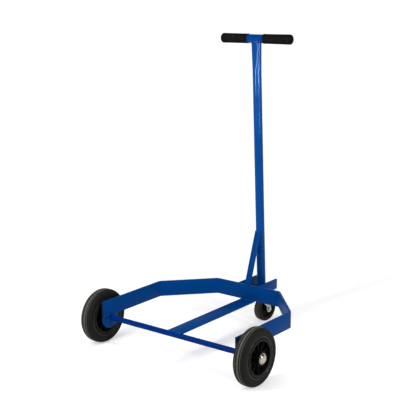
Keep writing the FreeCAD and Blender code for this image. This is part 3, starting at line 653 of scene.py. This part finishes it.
def groove(middle_x, top_r, width, depth, lip):
    """Round-lipped groove, from its right edge to its left one."""
    half = width / 2
    floor_r = top_r - depth
    return (arc(middle_x + half + lip, top_r - lip, lip, 90, 180, 3)
            + [(middle_x + half, floor_r + lip)]
            + arc(middle_x + half - lip, floor_r + lip, lip, 0, -90, 2)
            + arc(middle_x - half + lip, floor_r + lip, lip, -90, -180, 2)
            + arc(middle_x - half - lip, top_r - lip, lip, 0, 90, 3))


tyre_low, tyre_high = box_mm("right_tyre")
side_half = (tyre_high.x - tyre_low.x) / 2
tread_r = joint_at["right_wheel_spin"][0].z / MM
seat_half, seat_r = 18.9, 59.6
foot_tuck, foot_r, foot_bevel = 2.5, 64.6, 0.5
side_r, side_bow, side_steps = 80.5, 1.2, 14
shoulder_r, shoulder_round, shoulder_deg = 85.4, 14.0, 88
groove_x, groove_drop, groove_width, groove_depth, groove_lip = 6.0, 0.4, 3.2, 2.2, 0.7
crown_x, crown_drop = 1.8, 0.05

foot_half, side_start_r = side_half - foot_tuck, foot_r + foot_bevel
side = [(seat_half, seat_r), (seat_half, foot_r), (foot_half - foot_bevel, foot_r), (foot_half, side_start_r)]
for step in range(1, side_steps + 1):
    share = step / side_steps
    bow = side_bow * share * (1 - share)
    side.append((foot_half + (side_half - foot_half) * share + bow,
                 side_start_r + (side_r - side_start_r) * share))
side += arc(side_half - shoulder_round, shoulder_r, shoulder_round, 0, shoulder_deg, 10)
side += groove(groove_x, tread_r - groove_drop, groove_width, groove_depth, groove_lip)
side += [(crown_x, tread_r - crown_drop)]
tyre_section = side + [(0.0, tread_r)] + [(-x, r) for x, r in reversed(side)]
print("points in the tyre's section:", len(tyre_section))

# %% Tyres
ring_x, ring_r, ring_round, ring_deg = 21.7, 70.5, 1.1, 100
ring_section = arc(ring_x, ring_r, ring_round, -ring_deg, ring_deg, 8)
tyre_steps = 120
tyres = []
for side_name in ("left", "right"):
    middle, axle = joint_at[side_name + "_wheel_spin"]
    tyre = turned_piece(side_name + "_moulded_tyre", tyre_section, middle, axle, tyre_steps)
    join_frame(tyre, side_name + "_wheel", "tyre_rubber", side_name + "_tyre")
    tyres.append(tyre)
    for face, way in (("inside", -1), ("outside", 1)):
        ring_name = side_name + "_tyre_ring_" + face
        ring = turned_piece(ring_name, ring_section, middle, axle * way, tyre_steps)
        join_frame(ring, side_name + "_wheel", "tyre_rubber")
        ring.data.materials[0] = polished_rubber
print("tyre faces:", len(tyres[0].data.polygons))
print("tyre size in mm:", [round(v / MM, 1) for v in tyres[0].dimensions])

# %% [markdown]
# ### Hub caps
# A push-on cap closes each end of the axle: a flat flange, a short wall and a low dome, all with the
# soft edges that a press leaves. It is spun from one section, the same for both sides, with its axle
# pointing outwards.

# %% Hub caps
cap_low, cap_high = box_mm("right_hub_cap")
axle_low, axle_high = box_mm("axle")
axle_r = (axle_high.z - axle_low.z) / 2
flange_r = (cap_high.z - cap_low.z) / 2
fit_gap, flange_width, sheet, skirt = 0.1, 1.6, 1.0, 3.0
bore_r, wall_r, dome = axle_r + fit_gap, flange_r - flange_width, cap_high.x - cap_low.x - skirt
flange_round, flange_edge, flange_fall, wall_round = 0.5, 0.3, 0.7, 0.5
brow_drop, brow_tuck, brow_deg = 0.6, 0.15, 3.0
cap_steps = 64

dome_radius = (wall_r ** 2 + dome ** 2) / (2 * dome)
dome_deg = math.degrees(math.asin(wall_r / dome_radius))
cap_section = [(0, bore_r), (0, flange_r - flange_edge)]
cap_section += arc(flange_round, flange_r - flange_round, flange_round, 90, 30, 3)
cap_section += [(sheet, flange_r - flange_fall), (sheet, wall_r + wall_round)]
cap_section += [(sheet + wall_round, wall_r), (skirt - brow_drop, wall_r), (skirt, wall_r - brow_tuck)]
cap_section += arc(skirt + dome - dome_radius, 0, dome_radius, dome_deg - brow_deg, 0, 14)

caps = []
for side_name, way in (("left", -1), ("right", 1)):
    middle, axle = joint_at[side_name + "_wheel_spin"]
    seat = Vector((way * cap_low.x * MM, middle.y, middle.z))
    cap = turned_piece(side_name + "_pressed_cap", cap_section, seat, axle * way, cap_steps, closed=False)
    join_frame(cap, frame["nodes"][side_name + "_hub_cap"]["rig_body"], "cap_zinc", side_name + "_hub_cap")
    caps.append(cap)
print("caps reach x", [round(1000 * max(abs(v.co.x) for v in cap.data.vertices), 1) for cap in caps])

# %% [markdown]
# ### Grips
# The grips are dipped PVC sleeves with a closed, rounded end and a thin rolled lip where they meet the
# tube. The lip is part of the section, and the pebbled feel is in the finish.

# %% Grips
grip_low, grip_high = box_mm("right_grip")
mouth, end = grip_low.x, grip_high.x
grip_r = (grip_high.z - grip_low.z) / 2
bar_r = (t_high.z - t_low.z) / 2 / MM
mouth_inset = 0.2
lip_round, lip_width, lip_rise = 1.2, 3.6, 0.6
waist_start, waist_run = 5.0, 30.0
mid_drop, far_drop = 0.5, 0.3
end_round, end_flat = 7.0, 10.0
grip_steps = 48

grip_section = [(mouth + mouth_inset, bar_r + fit_gap)]
grip_section += arc(mouth + lip_round, grip_r - lip_round, lip_round, 180, 90, 4)
grip_section += arc(mouth + lip_width, grip_r - lip_rise, lip_rise, 90, 0, 3)
grip_section += [(mouth + waist_start, grip_r - lip_rise), (mouth + waist_run, grip_r - mid_drop)]
grip_section += [(end - waist_run, grip_r - far_drop)]
grip_section += arc(end - end_round, grip_r - end_round, end_round, 90, 0, 8)
grip_section += [(end, grip_r - end_flat), (end, 0.0)]

bar_centre = Vector((0, bar_middle.y, bar_middle.z))
for side_name, way in (("left", -1), ("right", 1)):
    grip = turned_piece(side_name + "_dipped_grip", grip_section, bar_centre, Vector((way, 0, 0)), grip_steps,
                        closed=False)
    join_frame(grip, "frame", "grip_rubber", side_name + "_grip")
print("grip from", round(mouth, 1), "to", round(end, 1), "mm")

# %% [markdown]
# ### Caster tyre
# The small wheel has a plain tyre with rounded shoulders and a bevelled foot. Its axle is turned a
# little, as the caster stands in the photograph.

# %% Caster tyre
middle, axle = joint_at["caster_wheel_spin"]
small_r = middle.z / MM
small_half, small_shoulder = 15.0, 7.0
small_foot_half, small_foot_r = 12.0, 37.1
small_edge_x, small_edge_r = 14.4, 39.6
small_corner_r, small_corner_round = 40.2, 0.6
small_steps = 96

caster_half = [(small_foot_half, small_foot_r), (small_edge_x, small_edge_r)]
caster_half += arc(small_edge_x, small_corner_r, small_corner_round, -45, 0, 2)
caster_half += arc(small_half - small_shoulder, small_r - small_shoulder, small_shoulder, 0, 90, 9)
caster_section = caster_half + [(0.0, small_r)] + [(-x, r) for x, r in reversed(caster_half)]
small_tyre = turned_piece("moulded_caster_tyre", caster_section, middle, axle, small_steps)
join_frame(small_tyre, "caster_wheel", "caster_rubber", "caster_tyre")
print("caster tyre faces:", len(small_tyre.data.polygons))

# %% [markdown]
# ## Weld beads
# The frame is welded by hand. A bead is a row of overlapping ripples, one for each stop of the torch,
# and lies in the corner between two pieces. One ripple is modelled from a sphere with few faces: it is
# flattened, and its leading side is pushed back so that it is blunt. Each bead is then made from
# copies of it. The beads are painted over with the frame.

# %% One ripple
ripple_length, ripple_width, ripple_height = 5.2, 6.0, 3.6
ripple_pitch = 3.2
lead_share, blunt_share = 0.25, 0.15

bpy.ops.object.select_all(action="DESELECT")
bpy.ops.mesh.primitive_uv_sphere_add(segments=8, ring_count=5, radius=0.5)
ripple = bpy.context.object
ripple.name = "weld_ripple"
bpy.ops.object.mode_set(mode="EDIT")
bpy.ops.mesh.select_all(action="SELECT")
bpy.ops.transform.resize(value=(ripple_length * MM, ripple_width * MM, ripple_height * MM))
bpy.ops.mesh.select_all(action="DESELECT")
bpy.ops.object.mode_set(mode="OBJECT")
for vertex in ripple.data.vertices:
    vertex.select = vertex.co.x > lead_share * ripple_length * MM
bpy.ops.object.mode_set(mode="EDIT")
bpy.ops.transform.translate(value=(-blunt_share * ripple_length * MM, 0, 0))
bpy.ops.object.mode_set(mode="OBJECT")
print("ripple faces:", len(ripple.data.polygons))

# %% [markdown]
# ### Laying a bead
# A bead follows stops: each has a place in millimetres, the way the torch moves, and the way the bead
# faces, which is out of the corner. Straight joints and joints round a bar differ only in how the
# stops are worked out. A hand-made bead isn't even, so the ripples swell and shrink a little.

# %% Beads
swell_share, swell_turn = 0.08, 2.4


def stops_on_line(start, end, facing):
    run = Vector(end) - Vector(start)
    count = max(2, round(run.length / ripple_pitch))
    return [(Vector(start) + run * ((i + 0.5) / count), run, Vector(facing)) for i in range(count)]


def stops_round_bar(middle, axle, radius):
    """Stops round a bar that stands on a plate, where axle points away from the plate."""
    count = round(2 * math.pi * radius / ripple_pitch)
    start = axle.orthogonal().normalized()
    outs = [Matrix.Rotation(2 * math.pi * i / count, 3, axle) @ start for i in range(count)]
    return [(Vector(middle) + out * radius, axle.cross(out), out + axle) for out in outs]


def weld_bead(name, stops):
    """One piece of ripples at the stops, on the frame."""
    bpy.ops.object.select_all(action="DESELECT")
    for index, (place, way, facing) in enumerate(stops):
        up = facing.normalized()
        across = up.cross(way).normalized()
        turn = Matrix((across.cross(up), across, up)).transposed().to_4x4()
        swell = 1 + swell_share * math.sin(swell_turn * index)
        copy = bpy.data.objects.new(name, ripple.data.copy())
        copy.data.transform(Matrix.Translation(place * MM) @ turn @ Matrix.Scale(swell, 4))
        scene.collection.objects.link(copy)
        copy.select_set(True)
    bpy.context.view_layer.objects.active = copy
    bpy.ops.object.join()
    bead = bpy.context.object
    bead.name = name
    bpy.ops.object.shade_smooth()
    join_frame(bead, "frame", "blue_paint")
    bead.data.materials[0] = bead_coat
    return bead


beads = []
print("a 60 mm joint takes", len(stops_on_line((0, 0, 0), (60, 0, 0), (0, 0, 1))), "ripples")

# %% [markdown]
# ### Beads on the lugs and the axle
# Each lug is welded all round where it laps the arm: over its top and bevelled corners, down both
# sides, and along the strap's lower edge on the inside. The axle is welded to the lug's inner face.
# Places come from the CAD boxes, so that the beads follow the frame.

# %% Lug beads
strap_bottom = box_mm("strap_frame")[0].z
lug_low, lug_high = box_mm("right_axle_lug")
lug_bevel = 12.0
bevel_z = lug_high.z - lug_bevel
corners = [(lug_low.y, strap_bottom), (lug_low.y, bevel_z), (lug_low.y + lug_bevel, lug_high.z),
           (lug_high.y - lug_bevel, lug_high.z), (lug_high.y, bevel_z), (lug_high.y, strap_bottom)]
axle_y = (lug_low.y + lug_high.y) / 2
axle_z = joint_at["right_wheel_spin"][0].z / MM

for side_name, way in (("left", -1), ("right", 1)):
    face = way * lug_low.x
    stops = []
    for (y, z), (next_y, next_z) in zip(corners, corners[1:]):
        out = Vector((0, y - next_y, z - next_z)).cross(Vector((1, 0, 0))).normalized()
        stops += stops_on_line((face, y, z), (face, next_y, next_z), out + Vector((way, 0, 0)))
    stops += stops_on_line((face, lug_low.y, strap_bottom), (face, lug_high.y, strap_bottom), (-way, 0, -1))
    stops += stops_round_bar((face, axle_y, axle_z), Vector((-way, 0, 0)), axle_r)
    beads.append(weld_bead(side_name + "_lug_welds", stops))
print("ripples on a lug:", len(stops))

# %% [markdown]
# ### Beads on the centre bar and the channel
# The centre bar is welded across its end on top of the axle and below, and across its top where it
# meets the strap. The rear channel is welded to the back of the strap, outside its walls and under
# its web.

# %% Bar and channel beads
bar_low, bar_high = box_mm("centre_bar")
channel_low, channel_high = box_mm("rear_channel")
half_bar = bar_high.x
strap_thickness = 8.0
rear_in, rear_out = channel_low.y - strap_thickness, channel_low.y
below_y = axle_y + math.sqrt(axle_r ** 2 - (bar_low.z - axle_z) ** 2)
stops = stops_on_line((-half_bar, axle_y, axle_z + axle_r), (half_bar, axle_y, axle_z + axle_r), (0, -1, 1))
stops += stops_on_line((-half_bar, below_y, bar_low.z), (half_bar, below_y, bar_low.z), (0, 1, -1))
stops += stops_on_line((-half_bar, rear_in, bar_high.z), (half_bar, rear_in, bar_high.z), (0, -1, 1))
beads.append(weld_bead("centre_bar_welds", stops))

web_round = 6.0
low_z, high_z = channel_low.z + web_round, channel_high.z
half_web = channel_high.x - web_round
stops = stops_on_line((-half_web, rear_out, channel_low.z), (half_web, rear_out, channel_low.z), (0, 1, -1))
for way in (-1, 1):
    wall = way * channel_high.x
    stops += stops_on_line((wall, rear_out, low_z), (wall, rear_out, high_z), (way, 1, 0))
beads.append(weld_bead("channel_welds", stops))
print("ripples on the channel:", len(stops))

# %% [markdown]
# ### Beads on the pole, the brace and the T-bar
# The pole stands in the channel with a bead round its foot. The brace is welded to the strap's top
# edge behind it and to the pole at its tip. At the top the pole is pressed flat and cut to a saddle,
# and the bead there follows the saddle round, so its stops rise where the T-bar curves away. That bead
# has the cross tube's coat, which glints less, and its darker tone is painted shade under the T-bar.

# %% Pole and brace beads
pole_low, pole_high = box_mm("handle_pole")
brace_low, brace_high = box_mm("pole_brace")
pole_diameter = 33.7
pole_r = pole_diameter / 2
foot_y = pole_high.y - pole_r
stops = stops_round_bar((0, foot_y, pole_low.z), Vector((0, 0, 1)), pole_r)
half_brace = brace_high.x
heel_depth = 5.5
heel_y = brace_low.y + heel_depth
stops += stops_on_line((-half_brace, heel_y, brace_low.z), (half_brace, heel_y, brace_low.z), (0, 1, 1))
tip_middle = Vector((0, brace_high.y + pole_r, brace_high.z))
tip_steps, tip_step_deg = 5, 9
for step in range(-tip_steps, tip_steps + 1):
    angle = math.radians(tip_step_deg * step)
    out = Vector((math.sin(angle), -math.cos(angle), 0))
    stops.append((tip_middle + out * pole_r, Vector((1, 0, 0)), out + Vector((0, 0, 1))))
beads.append(weld_bead("pole_welds", stops))
print("ripples on the pole and the brace:", len(stops))

# %% Handle bead
bar_y, bar_z = bar_middle.y / MM, bar_middle.z / MM
half_wide, half_deep, press_round = 19.0, 10.0, 6.0
rim = []
for middle_x, middle_y, start_deg in ((1, 1, 0), (-1, 1, 90), (-1, -1, 180), (1, -1, 270)):
    rim += arc(middle_x * (half_wide - press_round), middle_y * (half_deep - press_round), press_round,
               start_deg, start_deg + 90, 3)
stops = []
for (x, y), (next_x, next_y) in zip(rim, rim[1:] + rim[:1]):
    count = max(1, round(math.hypot(next_x - x, next_y - y) / ripple_pitch))
    for i in range(count):
        spot_x = x + (next_x - x) * (i + 0.5) / count
        spot_y = y + (next_y - y) * (i + 0.5) / count
        drop = math.sqrt(bar_r ** 2 - spot_y ** 2)
        off_bar = Vector((0, spot_y, -drop)) / bar_r
        off_pole = Vector((next_y - y, x - next_x, 0)).normalized()
        place = Vector((spot_x, bar_y + spot_y, bar_z - drop))
        stops.append((place, off_bar.cross(off_pole), off_bar + off_pole))
beads.append(weld_bead("handle_weld", stops))
# The darker coat on this bead is painted shade under the T-bar.
beads[-1].data.materials[0] = coat_with_painted_light["t_bar"]

bpy.ops.object.select_all(action="DESELECT")
ripple.select_set(True)
bpy.ops.object.delete()
print("beads:", [bead.name for bead in beads], "faces:", sum(len(bead.data.polygons) for bead in beads))
